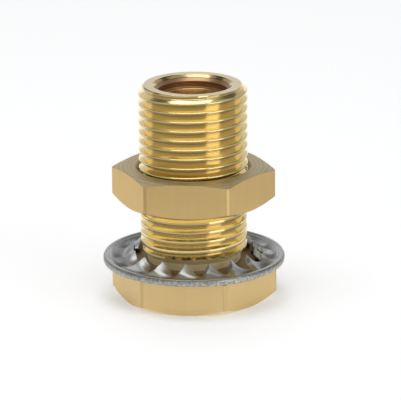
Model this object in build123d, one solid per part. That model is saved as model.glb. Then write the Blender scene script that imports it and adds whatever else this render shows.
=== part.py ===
"""A brass tank connector: a hex-headed threaded fitting with a through bore, its backnut, and a
toothed steel washer that lies on the head. The tank's wall is clamped between washer and backnut.

Millimetres. The fitting stands on its head: the axis is Z, and the head's underside is at Z = 0."""

from build123d import *

import math
import os

# The stem is a G 1/2 pipe thread. It is kept plain here, at the thread's crests.
thread_major = 20.955
thread_depth = 1.162
# The crests of the turns next to the head are turned down by this much all round.
lower_crest_turned_off = 0.23

# Fitting body
head_across_flats = 28.0
head_height = 7.0
neck_diameter = 18.0
neck_length = 3.0
neck_fillet = 0.4
stem_length = 35.0
bore_diameter = 11.0
mouth_diameter = 15.2
mouth_angle = 90.0
# Below its countersink the mouth is bored out straight, down to a flat seat round the waterway.
seat_diameter = 13.1
seat_depth = 2.3
inlet_chamfer = 0.8
head_lower_chamfer_angle = 30.0
head_upper_chamfer_angle = 22.0

# Both hexagons: the bar's corners are turned down a little, and the end faces stop short of the flats.
corner_turned_off = 0.16
end_face_inset = 0.3

# Backnut
nut_across_flats = 27.5
nut_height = 6.8
nut_turn = 3.0
nut_lower_chamfer_angle = 24.0
nut_upper_chamfer_angle = 15.0
nut_clearance = 0.03
nut_countersink = 0.6

# Toothed washer
washer_diameter = 35.0
rim_height = 1.4
rim_width = 1.0
rim_rounding = 0.35
dish_slope_width = 0.8
web_thickness = 0.8
web_inner_diameter = 27.4
tooth_count = 16
tooth_first_angle = 3.0
tooth_tip_diameter = 23.4
tooth_root_diameter = 32.4
tooth_root_width = 5.6
tooth_tip_width = 2.7
tooth_tip_thickness = 1.2
tooth_twist = 45.0
# The teeth stay this far above the plane that the washer lies on, and inside the web at their roots.
tooth_clearance = 0.03

# The space between the washer's teeth and the backnut, where the tank's wall goes.
wall_space = 9.3


def ring_solid(profile):
    """The solid that a closed outline of (radius, height) points makes about the axis."""
    outline = Polyline(*[(r, 0, z) for r, z in profile], close=True)
    return revolve(make_face(outline), Axis.Z, 360)


def hexagon_bar(across_flats, height, lower_angle, upper_angle):
    """A length of hexagon bar standing on Z = 0, a corner on +X, its two ends chamfered in the lathe."""
    corner = across_flats / 2 / math.cos(math.pi / 6)
    turned = corner - corner_turned_off
    face = across_flats / 2 - end_face_inset
    lower_fall = (turned - face) * math.tan(math.radians(lower_angle))
    upper_fall = (turned - face) * math.tan(math.radians(upper_angle))
    prism = extrude(RegularPolygon(corner, 6), height)
    envelope = ring_solid(
        [
            (0, 0),
            (face, 0),
            (turned, lower_fall),
            (turned, height - upper_fall),
            (face, height),
            (0, height),
        ]
    )
    return prism & envelope


def make_fitting_body(nut_top):
    """The hex head, the relief neck and the stem, bored through. The full crests start at nut_top."""
    top = head_height + stem_length
    neck = neck_diameter / 2
    crest = thread_major / 2
    low = crest - lower_crest_turned_off
    root = crest - thread_depth
    neck_top = head_height + neck_length
    stem = ring_solid(
        [
            (0, head_height),
            (neck, head_height),
            (neck, neck_top - (low - neck)),
            (low, neck_top),
            (low, nut_top - (crest - low)),
            (crest, nut_top),
            (crest, top - (crest - root)),
            (root, top),
            (0, top),
        ]
    )
    head = hexagon_bar(
        head_across_flats, head_height, head_lower_chamfer_angle, head_upper_chamfer_angle
    )
    body = head + stem
    seat_edge = body.edges().filter_by(GeomType.CIRCLE).filter_by_position(
        Axis.Z, head_height, head_height
    ).sort_by(SortBy.RADIUS)[0]
    body = fillet(seat_edge, min(neck_fillet, neck_length / 3))

    bore = bore_diameter / 2
    seat = seat_diameter / 2
    mouth = mouth_diameter / 2
    countersink_depth = (mouth - seat) / math.tan(math.radians(mouth_angle / 2))
    waterway = ring_solid(
        [
            (0, 0),
            (bore + inlet_chamfer, 0),
            (bore, inlet_chamfer),
            (bore, top - seat_depth),
            (seat, top - seat_depth),
            (seat, top - countersink_depth),
            (mouth, top),
            (0, top),
        ]
    )
    return body - waterway


def make_backnut(low):
    """The backnut, its underside at low, bored to pass the stem's crests with a running clearance."""
    hole = thread_major / 2 + nut_clearance
    mouth = hole + nut_countersink
    bored = ring_solid(
        [
            (0, 0),
            (mouth, 0),
            (hole, nut_countersink),
            (hole, nut_height - nut_countersink),
            (mouth, nut_height),
            (0, nut_height),
        ]
    )
    blank = hexagon_bar(
        nut_across_flats, nut_height, nut_lower_chamfer_angle, nut_upper_chamfer_angle
    )
    return Pos(0, 0, low) * Rot(0, 0, nut_turn) * (blank - bored)


def tooth_rise():
    """How high a tooth's twisted tip is, from its lower corner to its raised one."""
    twist = math.radians(tooth_twist)
    return tooth_tip_width * math.sin(twist) + tooth_tip_thickness * math.cos(twist)


def section_plane(radius, middle):
    """A plane across the +X tooth at a radius, its own X along the rim and its own Y up."""
    return Plane(origin=(radius, 0, middle), x_dir=(0, 1, 0), z_dir=(1, 0, 0))


def washer_tooth():
    """One tooth on +X: a tongue that narrows inwards while it twists, its clockwise edge rising."""
    root = section_plane(tooth_root_diameter / 2, web_thickness / 2)
    tip = section_plane(tooth_tip_diameter / 2, tooth_clearance + tooth_rise() / 2)
    root_section = root * Rectangle(tooth_root_width, web_thickness - 2 * tooth_clearance)
    tip_section = tip * Rot(0, 0, -tooth_twist) * Rectangle(tooth_tip_width, tooth_tip_thickness)
    return loft([root_section, tip_section], ruled=True)


def make_toothed_washer():
    """The washer, its underside at Z = 0: a raised rim, a dished web, and twisted teeth inside it."""
    outer = washer_diameter / 2
    rim_inner = outer - rim_width
    web_outer = rim_inner - dish_slope_width
    web_inner = web_inner_diameter / 2
    section = Polyline(
        (web_inner, 0, 0),
        (outer, 0, 0),
        (outer, 0, rim_height),
        (rim_inner, 0, rim_height),
        (web_outer, 0, web_thickness),
        (web_inner, 0, web_thickness),
        close=True,
    )
    ring = revolve(make_face(section), Axis.Z, 360)
    rim_edges = ring.edges().filter_by(GeomType.CIRCLE).sort_by(SortBy.RADIUS)[-2:]
    ring = fillet(rim_edges, min(rim_rounding, rim_height / 3))
    tooth = washer_tooth()
    pitch = 360 / tooth_count
    return ring + [Rot(0, 0, tooth_first_angle + pitch * k) * tooth for k in range(tooth_count)]


def main():
    os.makedirs("parts", exist_ok=True)
    tooth_top = head_height + tooth_clearance + tooth_rise()
    nut_low = tooth_top + wall_space
    pieces = {
        "fitting_body": make_fitting_body(nut_low + nut_height),
        "backnut": make_backnut(nut_low),
        "toothed_washer": Pos(0, 0, head_height) * make_toothed_washer(),
    }
    for name, piece in pieces.items():
        solid = piece.solids()[0] if len(piece.solids()) == 1 else piece
        export_step(solid, f"parts/{name}.step")
        box = solid.bounding_box()
        print(name, "from", box.min, "to", box.max, "volume", round(solid.volume, 1))
    print("washer's teeth reach", round(tooth_top, 3), "backnut's underside", round(nut_low, 3))


main()
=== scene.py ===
"""A brass tank connector with its backnut and its toothed steel washer, standing on its head in a
small photographic studio. Lengths are metres, and those of the pieces are written as millimetres
times mm."""

import math

import bmesh
import bpy
from mathutils import Matrix, Vector


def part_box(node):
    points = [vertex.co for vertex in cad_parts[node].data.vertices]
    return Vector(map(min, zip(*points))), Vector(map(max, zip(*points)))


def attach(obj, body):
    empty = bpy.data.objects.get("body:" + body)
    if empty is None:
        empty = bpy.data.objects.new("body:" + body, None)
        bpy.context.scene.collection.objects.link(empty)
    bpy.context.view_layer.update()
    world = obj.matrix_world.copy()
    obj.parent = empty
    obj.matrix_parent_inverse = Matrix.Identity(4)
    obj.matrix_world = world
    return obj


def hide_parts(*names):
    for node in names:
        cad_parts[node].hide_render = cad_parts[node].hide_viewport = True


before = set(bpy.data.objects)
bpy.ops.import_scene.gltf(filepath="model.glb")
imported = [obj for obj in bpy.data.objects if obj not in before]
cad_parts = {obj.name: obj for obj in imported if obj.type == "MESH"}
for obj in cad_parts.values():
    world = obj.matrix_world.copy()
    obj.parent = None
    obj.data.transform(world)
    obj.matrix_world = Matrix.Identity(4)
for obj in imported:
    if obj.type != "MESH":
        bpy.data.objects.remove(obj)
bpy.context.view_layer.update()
mm = 0.001

# The fitting body is turned from hexagonal brass bar: a hex head, a short relief neck and a pipe
# thread cut with a die, bored right through. The die left its turns bright. The bar's flats keep their
# drawn, matt skin, and the crests next to the head were turned down when the neck was cut.
body_low, body_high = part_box("fitting_body")
washer_low, washer_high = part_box("toothed_washer")
nut_low, nut_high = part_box("backnut")

thread_radius = 10.4775 * mm
thread_pitch = 1.814 * mm
thread_depth = 1.162 * mm
thread_flank = math.radians(27.5)
rounding = 0.249 * mm
rounding_steps = 3
thread_steps = 128
crest_height = 1.15 * mm
root_radius = thread_radius - thread_depth
lower_crest = thread_radius - 0.23 * mm

head_top = washer_low.z
head_flat = 14.0 * mm
head_lower_angle, head_upper_angle = 30, 12
corner_off = 0.16 * mm
face_inset = 0.3 * mm
edge_break = 0.06 * mm
hexagon_steps = 144

neck_radius = 9.0 * mm
neck_fillet = 0.4 * mm
neck_top = head_top + 3.0 * mm
cone_foot = neck_top - (lower_crest - neck_radius)
step_foot = nut_high.z - (thread_radius - lower_crest)
washer_hole = 13.7 * mm

bore_radius = 5.5 * mm
inlet_chamfer = 0.8 * mm
mouth_radius = 7.6 * mm
seat_radius = 6.55 * mm
seat_top = body_high.z - 2.3 * mm
mouth_foot = body_high.z - (mouth_radius - seat_radius)
lip = 0.12 * mm
# The mouth's bright lip ends in a fine step, and the brass is reddish below it.
copper_depth = 0.5 * mm
copper_step = 0.08 * mm
copper_radius = mouth_radius - copper_depth

# Vertices that lie nearer to each other than this are merged.
thread_weld = 0.001 * mm
weld = 0.0001 * mm


def thread_section(radius):
    """One pitch of the pipe thread, which is rounded at crest and root, as (distance up from a
    crest, radius) points."""
    crest = radius - rounding
    root = radius - thread_depth + rounding
    swing = math.pi / 2 - thread_flank
    arc = [swing * step / rounding_steps for step in range(rounding_steps + 1)]
    half = [(rounding * math.sin(a), crest + rounding * math.cos(a)) for a in arc]
    arc_end, arc_radius = half[-1]
    for level in (lower_crest + thread_radius - radius, thread_radius - thread_depth / 2):
        half.append((arc_end + (arc_radius - level) * math.tan(thread_flank), level))
    half += [
        (thread_pitch / 2 - rounding * math.sin(a), root - rounding * math.cos(a))
        for a in reversed(arc)
    ]
    return half + [(thread_pitch - up, r) for up, r in reversed(half[1:-1])]


def threaded_tube(mesh, radius, low, high, turned):
    """A right-hand helical thread round Z, cut off at two heights, its radius held by turned()."""
    first = math.floor((low - crest_height) / thread_pitch) - 2
    last = math.ceil((high - crest_height) / thread_pitch) + 1
    section = thread_section(radius)
    verts = [
        mesh.verts.new((r, 0, crest_height + turn * thread_pitch + up))
        for turn in range(first, last)
        for up, r in section
    ]
    edges = [mesh.edges.new(pair) for pair in zip(verts, verts[1:])]
    bmesh.ops.spin(
        mesh, geom=verts + edges, cent=(0, 0, 0), axis=(0, 0, 1), angle=math.tau,
        dvec=(0, 0, thread_pitch / thread_steps), steps=thread_steps, use_merge=False,
    )
    bmesh.ops.remove_doubles(mesh, verts=mesh.verts, dist=thread_weld)
    for height, side in ((low, -1), (high, 1)):
        everything = mesh.verts[:] + mesh.edges[:] + mesh.faces[:]
        bmesh.ops.bisect_plane(
            mesh, geom=everything, plane_co=(0, 0, height), plane_no=(0, 0, side), clear_outer=True
        )
    for vert in mesh.verts:
        now = math.hypot(vert.co.x, vert.co.y)
        vert.co.xy *= turned(vert.co.z, now) / now


def open_ring(mesh, radius, height):
    """The open edges that lie round Z at a radius and a height."""
    near = 0.02 * mm
    return [
        edge
        for edge in mesh.edges
        if edge.is_boundary
        and all(
            abs(v.co.z - height) < near and abs(math.hypot(v.co.x, v.co.y) - radius) < near
            for v in edge.verts
        )
    ]


def carry_ring(mesh, ring, places):
    """Extrudes a ring of edges through (radius, height) places, one step for each."""
    for radius, height in places:
        made = bmesh.ops.extrude_edge_only(mesh, edges=ring)["geom"]
        verts = {part for part in made if isinstance(part, bmesh.types.BMVert)}
        ring = [
            part
            for part in made
            if isinstance(part, bmesh.types.BMEdge) and set(part.verts) <= verts
        ]
        for vert in verts:
            vert.co.xy *= radius / math.hypot(vert.co.x, vert.co.y)
            vert.co.z = height
    return ring


def fill_between(mesh, ring, radius, height):
    """Fills the flat face from a ring of edges to the open ring at a radius and a height."""
    edges = ring + open_ring(mesh, radius, height)
    bmesh.ops.triangle_fill(mesh, edges=edges, use_beauty=True)


def round_corner(radius, height, size, start, end):
    """(radius, height) points of an arc of that size about a point, between two angles in degrees."""
    steps = 3
    angles = [math.radians(start + (end - start) * step / steps) for step in range(steps + 1)]
    return [(radius + size * math.cos(a), height + size * math.sin(a)) for a in angles]


def is_flat(face):
    """Whether a face is one of a hexagon's flats, the only upright faces with many corners."""
    return len(face.verts) > 12 and abs(face.normal.z) < 0.01


def hexagon_shell(mesh, flat, low, high, lower_angle, upper_angle, turn):
    """The turned outside of a hexagon's ends, with the six flats cut across it and their edges
    broken. It returns the radius of the flat end faces."""
    corner = flat / math.cos(math.pi / 6) - corner_off
    face = flat - face_inset
    lower = low + (corner - face) * math.tan(math.radians(lower_angle))
    upper = high - (corner - face) * math.tan(math.radians(upper_angle))
    known = set(mesh.verts)
    places = [(face, high), (corner, upper), (corner, lower), (face, low)]
    verts = [mesh.verts.new((r, 0, z)) for r, z in places]
    edges = [mesh.edges.new(pair) for pair in zip(verts, verts[1:])]
    bmesh.ops.spin(
        mesh, geom=verts + edges, cent=(0, 0, 0), axis=(0, 0, 1), angle=math.tau,
        dvec=(0, 0, 0), steps=hexagon_steps, use_merge=True,
    )
    for side in range(6):
        angle = math.radians(turn + 30 + 60 * side)
        out = Vector((math.cos(angle), math.sin(angle), 0))
        shell = {v for v in mesh.verts if v not in known}
        geometry = [e for e in mesh.edges if set(e.verts) <= shell]
        geometry += [f for f in mesh.faces if set(f.verts) <= shell] + list(shell)
        cut = bmesh.ops.bisect_plane(
            mesh, geom=geometry, plane_co=out * flat, plane_no=out, clear_outer=True
        )["geom_cut"]
        rim = [part for part in cut if isinstance(part, bmesh.types.BMEdge)]
        bmesh.ops.edgeloop_fill(mesh, edges=rim)
    rims = {edge for flat_side in filter(is_flat, mesh.faces) for edge in flat_side.edges}
    bmesh.ops.bevel(
        mesh, geom=list(rims), offset=edge_break, segments=2, profile=0.5,
        affect="EDGES", material=-1,
    )
    return face


def close_and_finish(mesh, name, finishes, finish_of, crease_of):
    """Makes the bmesh an object: normals outwards, each face's finish from finish_of(), and hard
    edges round a hexagon's flats and where faces turn by more degrees than crease_of() gives for
    the finishes that meet there."""
    bmesh.ops.remove_doubles(mesh, verts=mesh.verts, dist=weld)
    bmesh.ops.recalc_face_normals(mesh, faces=mesh.faces)
    for face in mesh.faces:
        face.smooth = True
        face.material_index = finish_of(face)
    for edge in mesh.edges:
        crease = math.radians(crease_of({face.material_index for face in edge.link_faces}))
        edge.smooth = edge.calc_face_angle(0) < crease and not any(map(is_flat, edge.link_faces))
    data = bpy.data.meshes.new(name)
    mesh.to_mesh(data)
    mesh.free()
    for finish in finishes:
        data.materials.append(finish)
    piece = bpy.data.objects.new(name, data)
    bpy.context.scene.collection.objects.link(piece)
    return piece


def brass_crease(kinds):
    """The thread's turns are shaded as round ones, and every other change of direction is hard."""
    return 50 if kinds == {0} else 12


class Field:
    """A value that varies over a surface. Arithmetic on it adds Math nodes to its material."""

    def __init__(self, nodes, socket):
        self.nodes = nodes
        self.socket = socket

    def maths(self, operation, *others):
        return self.nodes.maths(operation, self, *others)

    def twin(self, output):
        """Another output of the node that this value comes from."""
        return Field(self.nodes, self.socket.node.outputs[output])

    def __add__(self, other):
        return self.maths("ADD", other)

    def __sub__(self, other):
        return self.maths("SUBTRACT", other)

    def __rsub__(self, other):
        return self.nodes.maths("SUBTRACT", other, self)

    def __mul__(self, other):
        return self.maths("MULTIPLY", other)

    def __truediv__(self, other):
        return self.maths("DIVIDE", other)

    __radd__ = __add__
    __rmul__ = __mul__


class Nodes:
    """Adds nodes to one node tree."""

    def __init__(self, tree):
        self.tree = tree

    def node(self, kind, settings, sockets, output=0):
        """A node of that kind: its settings first, then its sockets, by name or place."""
        made = self.tree.nodes.new("ShaderNode" + kind)
        for name, value in settings.items():
            setattr(made, name, value)
        for place, value in sockets.items():
            self.feed(made.inputs[place], value)
        return Field(self, made.outputs[output])

    def feed(self, socket, value):
        """Links a field to a socket, or sets the socket to a number or a colour."""
        if isinstance(value, Field):
            self.tree.links.new(value.socket, socket)
        elif isinstance(value, tuple) and len(value) == 3 and len(socket.default_value) == 4:
            socket.default_value = (*value, 1)
        else:
            socket.default_value = value

    def maths(self, operation, *values):
        return self.node("Math", {"operation": operation}, dict(enumerate(values)))

    def place(self, scale=(1, 1, 1)):
        """Object coordinates, stretched."""
        where = self.node("TexCoord", {}, {}, "Object")
        return self.node("Mapping", {}, {"Vector": where, "Scale": scale})

    def axis_distance(self):
        """The distance from the Z axis."""
        sockets = {0: self.place((1, 1, 0))}
        return self.node("VectorMath", {"operation": "LENGTH"}, sockets, "Value")

    def height(self):
        return self.node("SeparateXYZ", {}, {0: self.place()}, "Z")

    def noise(self, scale, detail=3, stretch=(1, 1, 1)):
        sockets = {"Vector": self.place(stretch), "Scale": scale, "Detail": detail}
        return self.node("TexNoise", {}, sockets)

    def mix(self, share, one, other):
        return self.node("Mix", {"data_type": "RGBA"}, {0: share, 6: one, 7: other}, 2)

    def grey(self, level):
        """The grey of a level, as a colour."""
        return self.node("CombineColor", {}, {0: level, 1: level, 2: level})

    def limit(self, value, low, high):
        """0 where a value is at low or below, rising smoothly to 1 at high."""
        settings = {"interpolation_type": "SMOOTHSTEP"}
        return self.node("MapRange", settings, {0: value, 1: low, 2: high})

    def bump(self, height, strength, distance):
        sockets = {"Height": height, "Strength": strength, "Distance": distance}
        return self.node("Bump", {}, sockets)


class Finish(Nodes):
    """A metal finish: a Principled shader, and the nodes that feed it."""

    def __init__(self, name):
        self.material = bpy.data.materials.new(name)
        self.material.use_nodes = True
        super().__init__(self.material.node_tree)
        self.shader = self.tree.nodes["Principled BSDF"]
        self.set("Metallic", 1.0)

    def set(self, name, value):
        self.feed(self.shader.inputs[name], value)


def cut_thread_brass():
    """Bright brass as the die leaves it, with fine lines along the turns. Painted shade darkens it low
    in the roots and on the flank just below each crest, and it is duller inside the bore."""
    finish = Finish("cut_thread_brass")
    bright = finish.mix(finish.noise(260, 4), (0.94, 0.77, 0.40), (0.87, 0.68, 0.29))
    off_root = finish.axis_distance() - root_radius
    threaded = finish.limit(off_root, -0.4 * mm, -0.2 * mm)
    tone = finish.mix(threaded, (0.60, 0.45, 0.22), bright)
    # Painted shade: the roots of the thread are darkened.
    painted_root_shade = threaded * (1 - finish.limit(off_root, 0.02 * mm, 0.12 * mm))
    tone = finish.mix(painted_root_shade * 0.45, tone, (0.24, 0.15, 0.06))
    across = finish.node("SeparateXYZ", {}, {0: finish.place()}, "X")
    turn = across.twin("Y").maths("ARCTAN2", across) / math.tau
    climb = (finish.height() - crest_height) / thread_pitch - turn
    up_the_pitch = climb.maths("FRACT")
    # Painted shade: a dark band on the flank just below each crest.
    under = finish.limit(up_the_pitch, 0.80, 0.89) * (1 - finish.limit(up_the_pitch, 0.95, 0.99))
    finish.set("Base Color", finish.mix(under * threaded * 0.75, tone, (0.26, 0.17, 0.08)))
    finish.set("Roughness", 0.10 + 0.10 * finish.noise(900, 3))
    lines = finish.noise(1200, 2, (1, 1, 9))
    finish.set("Normal", finish.bump(lines, 0.12, 0.03 * mm))
    return finish.material


def turned_brass(name, light, dark, ring_width, matt=0.34):
    """Brass faced, chamfered or necked in the lathe: fine rings round the axis, also up the sides,
    and matt between them."""
    finish = Finish(name)
    radius = finish.axis_distance() + finish.height() * 0.7 + finish.noise(90, 2) * (0.15 * mm)

    def wave(width):
        return (radius * (math.tau / width)).maths("SINE")

    rings = (wave(ring_width) * 0.35 + wave(ring_width * 3.7) * 0.65) * 0.5 + 0.5
    cloud = finish.noise(420, 4)
    finish.set("Base Color", finish.mix(cloud * 0.5 + rings * 0.5, dark, light))
    finish.set("Roughness", matt + 0.16 * cloud)
    finish.set("Normal", finish.bump(rings + 0.3 * cloud, 0.6, 0.02 * mm))
    return finish.material


def drawn_bar_brass(name, light, dark, flat):
    """The bar's own skin on the flats: matt, with faint lines along the bar and soft mottling. Its
    corners were turned down, and those strips and their edges are painted darker as painted shade."""
    finish = Finish(name)
    streaks = finish.noise(900, 3, (1, 1, 0.03))
    mottle = finish.noise(700, 5)
    cloud = finish.noise(160, 2)
    skin = finish.mix(streaks * 0.4 + mottle * 0.3 + cloud * 0.3, dark, light)
    corner = flat / math.cos(math.pi / 6) - corner_off
    # Painted shade along the turned-down corner strips.
    turned = finish.limit(finish.axis_distance(), corner - 0.10 * mm, corner - 0.03 * mm)
    corner_shade_tone = tuple(0.55 * part for part in dark)
    finish.set("Base Color", finish.mix(turned * 0.3, skin, corner_shade_tone))
    finish.set("Roughness", 0.40 + 0.2 * mottle)
    finish.set("Normal", finish.bump(streaks * 0.6 + mottle * 0.8, 0.3, 0.03 * mm))
    return finish.material


def bore_brass():
    """The countersunk mouth and the waterway: reddish, with the drill's rings."""
    finish = Finish("bore_brass")
    rings = finish.node(
        "TexWave",
        {"wave_type": "BANDS", "bands_direction": "Z"},
        {"Vector": finish.place(), "Scale": 900, "Distortion": 1.5, "Detail": 2},
        "Fac",
    )
    cloud = finish.noise(300, 3)
    finish.set("Base Color", finish.mix(cloud, (0.36, 0.20, 0.11), (0.49, 0.295, 0.165)))
    finish.set("Roughness", 0.28 + 0.15 * cloud)
    finish.set("Normal", finish.bump(rings, 0.4, 0.02 * mm))
    return finish.material


def body_turned(height, radius):
    """The stem's radius, held by the cone at the neck, the lower crests and the chamfer at the top."""
    return min(
        radius,
        neck_radius + height - cone_foot,
        lower_crest + max(0, height - step_foot),
        root_radius + body_high.z - height,
    )


def body_finish(face):
    """0 thread and inner bore, 1 turned, 2 bar skin, 3 mouth, 4 neck, painted lighter as painted
    light, 5 the seat under the washer, painted dark as painted shade.
    """
    middle = face.calc_center_median()
    radius = math.hypot(middle.x, middle.y)
    if radius > head_flat - face_inset and abs(face.normal.z) < 0.1:
        return 2
    if neck_radius < radius < washer_hole and abs(middle.z - head_top) < neck_fillet:
        return 5
    if head_top < middle.z < neck_top and radius > seat_radius:
        return 4
    if radius < seat_radius - lip / 2 and middle.z > body_low.z + inlet_chamfer:
        return 0
    if radius < copper_radius and middle.z > body_low.z + inlet_chamfer / 2:
        return 3
    if middle.z > cone_foot and radius < thread_radius and abs(face.normal.z) < 0.99:
        return 0
    return 1


mesh = bmesh.new()
threaded_tube(mesh, thread_radius, cone_foot, body_high.z, body_turned)
fillet = round_corner(
    neck_radius + neck_fillet, head_top + neck_fillet, neck_fillet, 180, 270
)
seat = carry_ring(mesh, open_ring(mesh, neck_radius, cone_foot), fillet)
waterway = [
    (mouth_radius + lip, body_high.z),
    (mouth_radius, body_high.z - lip * 0.4),
    (mouth_radius - lip, body_high.z - lip * 1.4),
    (copper_radius, body_high.z - copper_depth),
    (copper_radius + copper_step / 4, body_high.z - copper_depth - copper_step),
    (seat_radius + lip, mouth_foot + lip * 0.6),
    (seat_radius, mouth_foot - lip * 0.6),
    (seat_radius, seat_top + lip),
    (seat_radius - lip * 0.3, seat_top + lip * 0.3),
    (seat_radius - lip, seat_top),
    (bore_radius + lip, seat_top),
    (bore_radius + lip * 0.3, seat_top - lip * 0.3),
    (bore_radius, seat_top - lip),
    (bore_radius, body_low.z + inlet_chamfer),
    (bore_radius + inlet_chamfer, body_low.z),
]
inlet = carry_ring(mesh, open_ring(mesh, root_radius, body_high.z), waterway)
head_face = hexagon_shell(
    mesh, head_flat, body_low.z, head_top, head_lower_angle, head_upper_angle, 0
)
fill_between(mesh, inlet, head_face, body_low.z)
fill_between(mesh, seat, head_face, head_top)
thread_brass = cut_thread_brass()
fitting = close_and_finish(
    mesh,
    "fitting",
    [
        thread_brass,
        turned_brass("turned_brass", (0.96, 0.84, 0.60), (0.80, 0.68, 0.47), 0.16 * mm),
        drawn_bar_brass("head_bar_brass", (0.83, 0.63, 0.31), (0.72, 0.53, 0.25), head_flat),
        bore_brass(),
        # Painted light: the shaded neck gets a lighter copy of the turned brass.
        turned_brass("painted_light_neck_brass", (1.0, 0.90, 0.62), (0.98, 0.86, 0.57), 0.13 * mm, 0.7),
        # Painted shade: the seat round the neck, under the washer, is a dark copy of the turned brass.
        turned_brass("painted_shade_seat_brass", (0.40, 0.29, 0.15), (0.27, 0.19, 0.09), 0.13 * mm, 0.42),
    ],
    body_finish,
    brass_crease,
)
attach(fitting, "fitting")
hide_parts("fitting_body")

# The backnut is a thin hexagon nut of the same brass bar, faced and chamfered at both ends and tapped
# to run on the stem. Its thread is in step with the stem's, so it stays so at every whole turn.
nut_clearance = 0.05 * mm
nut_flat = 13.75 * mm
nut_turn = 3.0
nut_lower_angle, nut_upper_angle = 24, 15
nut_mouth = thread_radius + 0.63 * mm
countersink = 0.6 * mm


def nut_tapped(height, radius):
    """The tapped hole's radius, opened by the countersinks at both ends."""
    depth = min(height - nut_low.z, nut_high.z - height)
    return max(radius, nut_mouth - max(0, depth))


def nut_finish(face):
    """0 thread, 1 turned, 2 bar skin."""
    middle = face.calc_center_median()
    radius = math.hypot(middle.x, middle.y)
    if radius > nut_flat - face_inset and abs(face.normal.z) < 0.1:
        return 2
    return 0 if radius < nut_mouth - countersink else 1


mesh = bmesh.new()
threaded_tube(mesh, thread_radius + nut_clearance, nut_low.z, nut_high.z, nut_tapped)
nut_face = hexagon_shell(
    mesh, nut_flat, nut_low.z, nut_high.z, nut_lower_angle, nut_upper_angle, nut_turn
)
for height in (nut_low.z, nut_high.z):
    fill_between(mesh, open_ring(mesh, nut_mouth, height), nut_face, height)
nut = close_and_finish(
    mesh,
    "backnut_tapped",
    [
        thread_brass,
        turned_brass("faced_nut_brass", (0.72, 0.61, 0.38), (0.45, 0.38, 0.23), 0.20 * mm, 0.44),
        drawn_bar_brass("nut_bar_brass", (0.92, 0.67, 0.30), (0.79, 0.567, 0.24), nut_flat),
    ],
    nut_finish,
    brass_crease,
)
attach(nut, "nut")
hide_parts("backnut")

# The washer is stamped from steel sheet: a thick rim that keeps its sheared edge, a dished web, and
# sixteen tongues, twisted so that the clockwise edge of each stands up and bites into the tank's wall.
# Angles round the washer are degrees, clockwise from a tooth's middle.
tooth_count = 16
first_tooth = 3.0
half_pitch = 180 / tooth_count
tip_half_width = 6.35
rim_ridge, gap_ridge, tip_ridge = 9.6, 6.2, 2.5

washer_radius = 17.5 * mm
web_radius = 16.2 * mm
ridge_end = 15.8 * mm
gap_radius = 13.5 * mm
hollow_end = 13.3 * mm
tip_radius = 11.7 * mm

web_top = 0.85 * mm
hollow_depth = 0.6 * mm
gap_low_edge = 0.74 * mm
tip_low_edge = 0.88 * mm
gap_high_edge = 1.42 * mm
tip_high_edge = washer_high.z - washer_low.z
tip_cut_foot = 1.72 * mm
tip_underside = 1.66 * mm
underside_lift = 0.02 * mm

across_top = 20
across_cut = 8
tooth_rows = 9
web_rows = 9
under_web_rows = 3
tongue_weld = 0.002 * mm
washer_crease = 38

# The rim's outline as (radius, height), in millimetres: up from the web, over, down and in again
# underneath.
rim_section = [
    (16.38, 1.02),
    (16.50, 1.24),
    (16.60, 1.36),
    (16.74, 1.40),
    (17.08, 1.40),
    (17.26, 1.38),
    (17.34, 1.31),
    (17.24, 1.24),
    (17.24, 1.17),
    (17.42, 1.12),
    (17.50, 1.00),
    (17.50, 0.75),
    (17.50, 0.45),
    (17.44, 0.20),
    (17.30, 0.06),
    (17.10, 0.0),
    (16.2, 0.0),
]

# Places across a tooth: 0 to 1 over its top, then 1 to 2 down its cut edge.
columns = [step / across_top for step in range(across_top + 1)]
columns += [1 + step / across_cut for step in range(1, across_cut + 1)]


def between(start, end, share):
    return start + (end - start) * share


def clamped(share):
    return min(max(share, 0), 1)


def smooth(share):
    share = clamped(share)
    return share * share * (3 - 2 * share)


def narrowing(radius):
    """(share of the way from the web to the tip, degrees cut away on each side of the tooth)."""
    inward = clamped((gap_radius - radius) / (gap_radius - tip_radius))
    return inward, (half_pitch - tip_half_width) * inward**0.62


def upper_place(column, radius):
    """(degrees clockwise of the tooth's middle, height) on the washer's upper side."""
    inward, gap = narrowing(radius)
    near, far = -half_pitch + gap, half_pitch - gap
    lift = clamped((ridge_end - radius) / (ridge_end - gap_radius))
    ridge = between(between(rim_ridge, gap_ridge, smooth(lift)), tip_ridge, inward**0.75)
    low_edge = between(web_top, between(gap_low_edge, tip_low_edge, inward), smooth(lift))
    high_edge = between(web_top, between(gap_high_edge, tip_high_edge, inward**0.85), lift**1.1)
    if column <= 1:
        down_slope = clamped((web_radius - radius) / (web_radius - hollow_end))
        dip = hollow_depth * math.sin(math.pi * down_slope) * math.sin(math.pi * column**0.8)
        rise = column ** between(1.4, 0.85, inward)
        return between(near, ridge, column), between(low_edge, high_edge, rise) - dip
    down = column - 1
    cut_foot = between(low_edge, tip_cut_foot, inward**1.3)
    fall = between(smooth(down), down, inward)
    return between(ridge, far, down), between(high_edge, cut_foot, fall)


def rim_place(height):
    """The places of a row round the rim, which follows the web's edge at its own height."""
    return lambda column, radius: (upper_place(column, web_radius)[0], height)


def lower_place(column, radius):
    """(degrees clockwise of the tooth's middle, height) on the washer's under side."""
    inward, gap = narrowing(radius)
    near = -half_pitch + gap + 4.2 * inward**0.8
    far = half_pitch - gap - 0.15 * inward
    foot = underside_lift * inward
    share = column / 2
    rise = between(foot, tip_underside, inward)
    return between(near, far, share), between(foot, rise, share**1.2)


def set_row(row, radius, place):
    """Moves a row of vertices to place() at a radius."""
    for vert, column in zip(row, columns):
        clockwise, height = place(column, radius)
        angle = math.radians(first_tooth - clockwise)
        vert.co = (radius * math.cos(angle), radius * math.sin(angle), washer_low.z + height)


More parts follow.
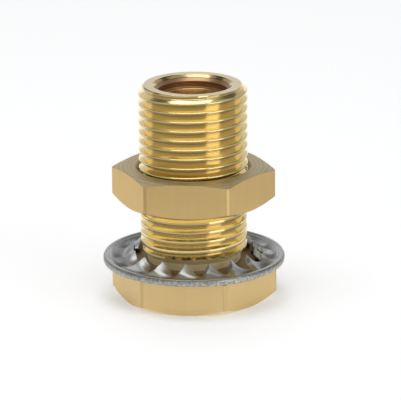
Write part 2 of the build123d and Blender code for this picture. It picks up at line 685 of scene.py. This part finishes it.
def next_row(mesh, row):
    """Extrudes a row of vertices, and returns the new row in the same order."""
    edges = [mesh.edges.get(pair) for pair in zip(row, row[1:])]
    made = set(bmesh.ops.extrude_edge_only(mesh, edges=edges)["geom"])
    return [
        next(v for v in (e.other_vert(vert) for e in vert.link_edges) if v in made)
        for vert in row
    ]


def grow_rows(mesh, row, start, end, count, place):
    """Extrudes rows from one radius to another, and returns them with the one it started from."""
    rows = [row]
    for step in range(1, count + 1):
        rows.append(next_row(mesh, rows[-1]))
        set_row(rows[-1], between(start, end, step / count), place)
    return rows


def stamped_steel():
    """Plain steel: painted lighter on the teeth as painted light, with painted shade in the hollows
    between them, and grey and speckled on the sheared rim."""
    finish = Finish("stamped_steel")
    cloud = finish.noise(500, 4)
    speckle = finish.noise(2600, 3)
    radius = finish.axis_distance()
    rim = finish.limit(radius, washer_radius - 0.35 * mm, washer_radius - 0.1 * mm)
    teeth = 1 - finish.limit(radius, gap_radius - 1.0 * mm, gap_radius + 0.8 * mm)
    web = 1 - finish.limit(radius, web_radius - 0.3 * mm, web_radius)
    # Painted shade: the low hollows of the web are darkened.
    hollow_shade_low, hollow_shade_high = washer_low.z + 0.35 * mm, washer_low.z + 0.78 * mm
    painted_hollow_shade = 1 - finish.limit(finish.height(), hollow_shade_low, hollow_shade_high)
    plain = finish.mix(cloud, (0.36, 0.37, 0.37), (0.52, 0.53, 0.52))
    # Painted light: the teeth are made lighter.
    plain = finish.mix(teeth * 0.6, plain, (0.66, 0.67, 0.67))
    plain = finish.mix(painted_hollow_shade * web * 0.75, plain, (0.13, 0.13, 0.13))
    grain = finish.limit(speckle, 0.35, 0.7)
    sheared = finish.mix(grain, (0.30, 0.30, 0.28), (0.60, 0.59, 0.54))
    finish.set("Base Color", finish.mix(rim, plain, sheared))
    finish.set("Roughness", 0.20 + 0.14 * web + 0.12 * cloud + rim * 0.2)
    relief = cloud * 0.5 + speckle * (0.15 + rim * 0.7)
    finish.set("Normal", finish.bump(relief, 0.35, 0.04 * mm))
    return finish.material


def sheared_steel():
    """The cut edges of the tongues: grey, with the tears that the shears left across the sheet."""
    finish = Finish("sheared_steel")
    tears = finish.noise(1500, 3, (1, 1, 0.2))
    torn = finish.limit(tears, 0.35, 0.65)
    finish.set("Base Color", finish.mix(torn, (0.30, 0.31, 0.31), (0.62, 0.62, 0.60)))
    finish.set("Roughness", 0.50 + 0.12 * tears)
    finish.set("Normal", finish.bump(tears, 0.6, 0.05 * mm))
    return finish.material


mesh = bmesh.new()
tip_row = [mesh.verts.new((column, 0, 0)) for column in columns]
for pair in zip(tip_row, tip_row[1:]):
    mesh.edges.new(pair)
set_row(tip_row, tip_radius, upper_place)
tooth = grow_rows(mesh, tip_row, tip_radius, gap_radius, tooth_rows, upper_place)
row = grow_rows(mesh, tooth[-1], gap_radius, web_radius, web_rows, upper_place)[-1]
for radius, height in rim_section:
    row = next_row(mesh, row)
    set_row(row, radius * mm, rim_place(height * mm))
row = grow_rows(mesh, row, web_radius, gap_radius, under_web_rows, lower_place)[-1]
grow_rows(mesh, row, gap_radius, tip_radius, tooth_rows, lower_place)
cut = {vert for row in tooth for vert in row[across_top:]}
for face in mesh.faces:
    face.material_index = 1 if set(face.verts) <= cut else 0
bmesh.ops.spin(
    mesh, geom=mesh.verts[:] + mesh.edges[:] + mesh.faces[:], cent=(0, 0, 0), axis=(0, 0, 1),
    angle=math.tau * (tooth_count - 1) / tooth_count, dvec=(0, 0, 0), steps=tooth_count - 1,
    use_duplicate=True,
)
bmesh.ops.remove_doubles(mesh, verts=mesh.verts, dist=tongue_weld)
bmesh.ops.bridge_loops(mesh, edges=[edge for edge in mesh.edges if edge.is_boundary])
washer = close_and_finish(
    mesh,
    "lock_washer",
    [stamped_steel(), sheared_steel()],
    lambda face: face.material_index,
    lambda kinds: washer_crease,
)
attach(washer, "fitting")
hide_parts("toothed_washer")

# The floor is a white sheet on a table. The camera and the bright metal see it as white paper, a
# little darker where the piece keeps the light of the room off it. Past the sheet the metal sees a
# table as bright as the room behind it.
floor_reach = 1.6
floor_corners = 96
paper_white = (0.893, 0.9, 0.912)
paper_light = 0.29
sheet_radius = 42 * mm
view_azimuth = math.radians(8.64)
front_level = 0.46
window_rise = 0.95
wall_rise = 0.6
right_fall, left_fall = 0.2, 0.16


def room_level(nodes, toward):
    """How bright the room is in a horizontal direction, seen from the piece, and where its white
    walls are: a dim front with a bright window at the camera's right, and white walls behind, a
    little darker at both sides."""
    across = nodes.node("SeparateXYZ", {}, {0: toward}, "X")
    along = across.twin("Y")
    behind = along * math.cos(view_azimuth) - across * math.sin(view_azimuth)
    rightward = across * math.cos(view_azimuth) + along * math.sin(view_azimuth)
    bearing = rightward.maths("ARCTAN2", 0 - behind) * (180 / math.pi)

    def side(start, end, soft):
        """1 between two bearings and 0 outside them, softly. They are degrees from the camera's own
        bearing, round by the picture's right."""
        after = nodes.limit(bearing, start - soft, start + soft)
        return after * (1 - nodes.limit(bearing, end - soft, end + soft))

    walls = 1 - side(-110, 114, 3)
    window = side(31, 64, 2)
    right_wall = side(114, 150, 6)
    left_wall = side(-150, -114, 6)
    level = front_level + window * window_rise + walls * wall_rise
    return level - right_wall * right_fall - left_wall * left_fall, walls


mesh = bmesh.new()
bmesh.ops.create_circle(mesh, cap_ends=True, segments=floor_corners, radius=floor_reach)
data = bpy.data.meshes.new("floor")
mesh.to_mesh(data)
mesh.free()
floor = bpy.data.objects.new("floor", data)
bpy.context.scene.collection.objects.link(floor)
paper = bpy.data.materials.new("white_paper")
paper.use_nodes = True
sheet = Nodes(paper.node_tree)
camera_sees = sheet.node("LightPath", {}, {}, "Is Camera Ray")
metal_sees = camera_sees.twin("Is Glossy Ray")
matt = sheet.node("BsdfDiffuse", {}, {"Color": paper_white})
shine = sheet.grey((camera_sees + metal_sees) * paper_light)
glow = sheet.node("Emission", {}, {"Color": shine})
lit_paper = sheet.node("AddShader", {}, {0: matt, 1: glow})
table_level, _ = room_level(sheet, sheet.place())
table = sheet.node("Emission", {}, {"Color": sheet.grey(table_level)})
past = sheet.limit(sheet.axis_distance(), sheet_radius, sheet_radius * 1.3) * metal_sees
surface = sheet.node("MixShader", {}, {0: past, 1: lit_paper, 2: table})
sheet.feed(paper.node_tree.nodes["Material Output"].inputs["Surface"], surface)
data.materials.append(paper)

# The room round the sheet is dim in front but for a window at the right, and its walls are white
# behind, darker above the table's level and under the ceiling. Two soft boxes hang over the piece.
world = bpy.context.scene.world or bpy.data.worlds.new("studio")
bpy.context.scene.world = world
world.use_nodes = True
room = Nodes(world.node_tree)
toward = room.node("TexCoord", {}, {}, "Generated")
height = room.node("SeparateXYZ", {}, {0: toward}, "Z")
sides, walls = room_level(room, toward)
low = 1 - room.limit(height, 0.45, 0.8)
above_sheet = room.limit(height, 0.15, 0.25)
upper_wall = room.limit(height, 0.56, 0.66) * (1 - room.limit(height, 0.8, 0.93))
ceiling = 0.5
low_fall, high_fall = 0.38, 0.4
level = ceiling + (sides - ceiling - walls * above_sheet * low_fall) * low
level = level - walls * upper_wall * high_fall
camera_sees = room.node("LightPath", {}, {}, "Is Camera Ray")
light = room.mix(camera_sees, room.grey(level), (1, 1, 1))
room.feed(world.node_tree.nodes["Background"].inputs["Color"], light)

view_right = Vector((math.cos(view_azimuth), math.sin(view_azimuth), 0))
view_away = Vector((-math.sin(view_azimuth), math.cos(view_azimuth), 0))
lamp_distance = 0.6


def soft_box(name, toward_it, size, watts):
    """An oblong lamp that faces the piece from a direction given as (right, away, up) of the view."""
    lamp = bpy.data.lights.new(name, "AREA")
    lamp.shape = "RECTANGLE"
    lamp.size, lamp.size_y = size
    lamp.energy = watts
    made = bpy.data.objects.new(name, lamp)
    bpy.context.scene.collection.objects.link(made)
    right, away, up = toward_it
    aim = (view_right * right + view_away * away + Vector((0, 0, up))).normalized()
    made.location = Vector((0, 0, body_high.z / 2)) + aim * lamp_distance
    made.rotation_euler = aim.to_track_quat("Z", "Y").to_euler()


soft_box("box_back", (-0.045, 0.39, 0.886), (0.28, 0.16), 0.35)
soft_box("box_top", (-0.105, -0.228, 0.972), (0.56, 0.26), 1.1)

# The camera looks a little down on the front flats, from far off, with a long lens.
elevation = math.radians(16.82)
roll = math.radians(-0.44)
camera_distance = 608.6 * mm
aim_right = 1.33 * mm
aim_up = 18.11 * mm
focal_pixels = 3137.0
frame_pixels = 401
sensor_width = 36

view_back = Vector((0, 0, math.sin(elevation))) - view_away * math.cos(elevation)
view_up = view_back.cross(view_right)
image_right = view_right * math.cos(roll) + view_up * math.sin(roll)
image_up = view_back.cross(image_right)
lens = bpy.data.cameras.new("camera")
lens.sensor_width = sensor_width
lens.lens = sensor_width * focal_pixels / frame_pixels
lens.clip_start = 0.05
lens.clip_end = 20
camera = bpy.data.objects.new("camera", lens)
bpy.context.scene.collection.objects.link(camera)
eye = view_right * aim_right + view_up * aim_up + view_back * camera_distance
turned = Matrix((image_right, image_up, view_back)).transposed().to_4x4()
camera.matrix_world = Matrix.Translation(eye) @ turned
bpy.context.scene.camera = camera
bpy.context.scene.view_settings.view_transform = "Standard"
